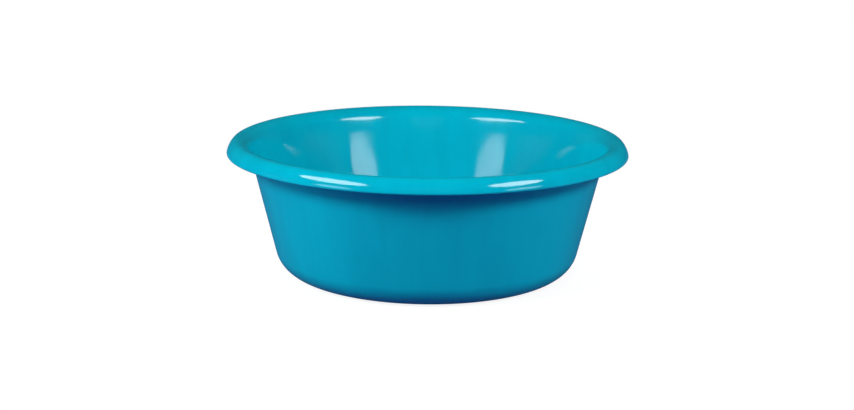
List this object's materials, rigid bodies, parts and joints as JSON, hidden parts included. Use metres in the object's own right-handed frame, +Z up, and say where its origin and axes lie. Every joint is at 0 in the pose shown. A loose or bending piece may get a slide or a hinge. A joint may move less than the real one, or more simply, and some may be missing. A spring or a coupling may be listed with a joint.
{
  "type": "round washing up bowl",
  "caption": "Round turquoise plastic washing up bowl with tapering sides, a rounded heel, a rolled rim hollow underneath, and a flat foot ring round a raised floor.",
  "frame": {"origin": "centre of the flat foot ring, on the surface that the bowl stands on", "axes": "+Z up along the bowl's axis of revolution; +X to the right and -Y towards the viewer in the picture"},
  "size_m": [0.34, 0.34, 0.115],
  "materials": {
    "turquoise_plastic": "smooth injection moulded polypropylene, glossy, opaque turquoise"
  },
  "bodies": {
    "root": {"floor_panel": "turquoise_plastic", "floor_edge": "turquoise_plastic", "foot_ring": "turquoise_plastic", "heel": "turquoise_plastic", "side_wall": "turquoise_plastic", "flare": "turquoise_plastic", "rim_roll": "turquoise_plastic", "rim_crown": "turquoise_plastic", "rim_skirt": "turquoise_plastic", "lip": "turquoise_plastic"}
  },
  "joints": []
}
